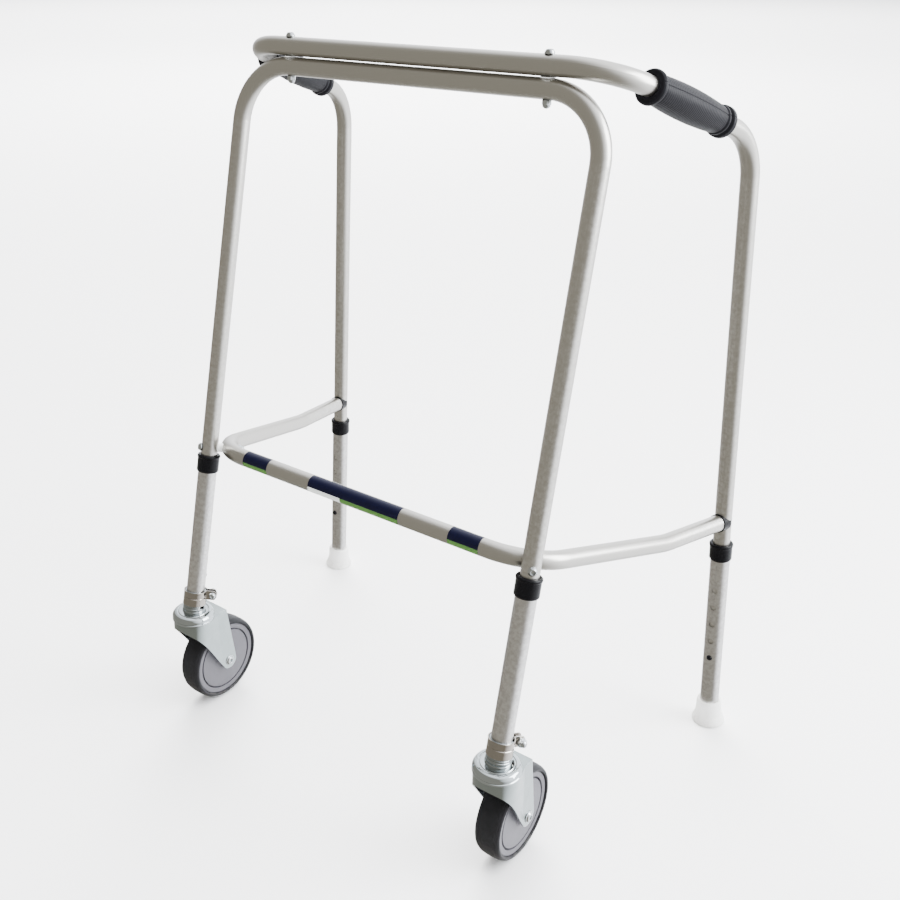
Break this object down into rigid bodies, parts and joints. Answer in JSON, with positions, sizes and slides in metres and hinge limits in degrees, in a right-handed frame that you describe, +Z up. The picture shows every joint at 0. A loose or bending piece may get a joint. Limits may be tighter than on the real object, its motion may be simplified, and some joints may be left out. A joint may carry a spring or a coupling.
{
  "type": "walking frame",
  "caption": "Non-folding walking frame of bent aluminium tube with swivel castors in front, rubber feet behind, height-adjustable legs and angled hand grips.",
  "frame": {"origin": "on the floor, at the middle of the frame's outline", "axes": "+X to the user's right, -Y the way it walks, +Z up"},
  "size_m": [0.7412, 0.4819, 0.9265],
  "materials": {
    "anodised_aluminium": "satin anodised",
    "zinc_plated_steel": "bright zinc plate",
    "chromed_steel": "polished",
    "stainless_steel": "bright stainless",
    "spring_steel": "plain",
    "black_plastic": "moulded, semi-gloss",
    "white_nylon": "plain",
    "grip_rubber": "fine ribs, matt",
    "foot_rubber": "matt",
    "hub_plastic": "fine moulded",
    "tyre_rubber": "smooth tread",
    "printed_label": "laminated print"
  },
  "bodies": {
    "root": {"handle_frame": "anodised_aluminium", "front_arch": "anodised_aluminium", "brace_tube": "anodised_aluminium", "crossbar_bolts": "zinc_plated_steel", "crossbar_nuts": "zinc_plated_steel", "crossbar_spacers": "white_nylon", "brace_bolts": "zinc_plated_steel", "brace_nuts": "zinc_plated_steel", "brace_spacers": "white_nylon", "brace_end_saddles": "black_plastic", "brace_end_screws": "zinc_plated_steel", "main_label": "printed_label", "end_labels": "printed_label", "right_grip": "grip_rubber", "left_grip": "grip_rubber", "button_springs": "spring_steel"},
    "front_right_leg": {"front_right_lower_tube": "anodised_aluminium", "front_right_collar": "black_plastic", "right_castor_socket": "chromed_steel", "right_clamp_band": "stainless_steel", "right_clamp_bolt": "stainless_steel", "right_clamp_nut": "stainless_steel", "right_swivel_dome": "chromed_steel", "right_king_pin": "zinc_plated_steel"},
    "front_right_button": {"front_right_button": "black_plastic"},
    "rear_right_leg": {"rear_right_lower_tube": "anodised_aluminium", "rear_right_collar": "black_plastic", "rear_right_ferrule": "foot_rubber"},
    "rear_right_button": {"rear_right_button": "black_plastic"},
    "right_fork": {"right_castor_fork": "zinc_plated_steel", "right_swivel_balls": "spring_steel", "right_axle_bolt": "zinc_plated_steel", "right_axle_nut": "zinc_plated_steel", "right_axle_spacers": "zinc_plated_steel"},
    "right_wheel": {"right_wheel_hub": "hub_plastic", "right_wheel_tyre": "tyre_rubber", "right_wheel_bush": "spring_steel"},
    "front_left_leg": {"front_left_lower_tube": "anodised_aluminium", "front_left_collar": "black_plastic", "left_castor_socket": "chromed_steel", "left_clamp_band": "stainless_steel", "left_clamp_bolt": "stainless_steel", "left_clamp_nut": "stainless_steel", "left_swivel_dome": "chromed_steel", "left_king_pin": "zinc_plated_steel"},
    "front_left_button": {"front_left_button": "black_plastic"},
    "rear_left_leg": {"rear_left_lower_tube": "anodised_aluminium", "rear_left_collar": "black_plastic", "rear_left_ferrule": "foot_rubber"},
    "rear_left_button": {"rear_left_button": "black_plastic"},
    "left_fork": {"left_castor_fork": "zinc_plated_steel", "left_swivel_balls": "spring_steel", "left_axle_bolt": "zinc_plated_steel", "left_axle_nut": "zinc_plated_steel", "left_axle_spacers": "zinc_plated_steel"},
    "left_wheel": {"left_wheel_hub": "hub_plastic", "left_wheel_tyre": "tyre_rubber", "left_wheel_bush": "spring_steel"}
  },
  "joints": [
    {"name": "front_right_leg_slide", "type": "slide", "parent": "root", "child": "front_right_leg", "axis": [0.0039, -0.2018, -0.9794], "range_m": [0, 0.1088], "deforming": ["front_right_button"]},
    {"name": "front_right_button_press", "type": "slide", "parent": "root", "child": "front_right_button", "axis": [0.2113, -0.9571, 0.198], "range_m": [0, 0.0042], "stiffness_N_per_m": 600, "springref_m": -0.002, "deforming": ["button_springs"]},
    {"name": "rear_right_leg_slide", "type": "slide", "parent": "root", "child": "rear_right_leg", "axis": [0.0516, 0.0296, -0.9982], "range_m": [0, 0.1088], "deforming": ["rear_right_button"]},
    {"name": "rear_right_button_press", "type": "slide", "parent": "root", "child": "rear_right_button", "axis": [-0.0015, 0.9996, 0.0296], "range_m": [0, 0.0042], "stiffness_N_per_m": 600, "springref_m": -0.002, "deforming": ["button_springs"]},
    {"name": "right_castor_swivel", "type": "hinge", "parent": "front_right_leg", "child": "right_fork", "pos_m": [0.25314, -0.21166, 0.1485], "axis": [0, 0, 1], "continuous": true},
    {"name": "right_wheel_spin", "type": "hinge", "parent": "right_fork", "child": "right_wheel", "pos_m": [0.25314, -0.16865, 0.061], "axis": [1, 0, 0], "continuous": true},
    {"name": "front_left_leg_slide", "type": "slide", "parent": "root", "child": "front_left_leg", "axis": [-0.0039, -0.2018, -0.9794], "range_m": [0, 0.1088], "deforming": ["front_left_button"]},
    {"name": "front_left_button_press", "type": "slide", "parent": "root", "child": "front_left_button", "axis": [-0.2113, -0.9571, 0.198], "range_m": [0, 0.0042], "stiffness_N_per_m": 600, "springref_m": -0.002, "deforming": ["button_springs"]},
    {"name": "rear_left_leg_slide", "type": "slide", "parent": "root", "child": "rear_left_leg", "axis": [-0.0516, 0.0296, -0.9982], "range_m": [0, 0.1088], "deforming": ["rear_left_button"]},
    {"name": "rear_left_button_press", "type": "slide", "parent": "root", "child": "rear_left_button", "axis": [0.0015, 0.9996, 0.0296], "range_m": [0, 0.0042], "stiffness_N_per_m": 600, "springref_m": -0.002, "deforming": ["button_springs"]},
    {"name": "left_castor_swivel", "type": "hinge", "parent": "front_left_leg", "child": "left_fork", "pos_m": [-0.25314, -0.21166, 0.1485], "axis": [0, 0, 1], "continuous": true},
    {"name": "left_wheel_spin", "type": "hinge", "parent": "left_fork", "child": "left_wheel", "pos_m": [-0.25314, -0.16865, 0.061], "axis": [1, 0, 0], "continuous": true}
  ]
}
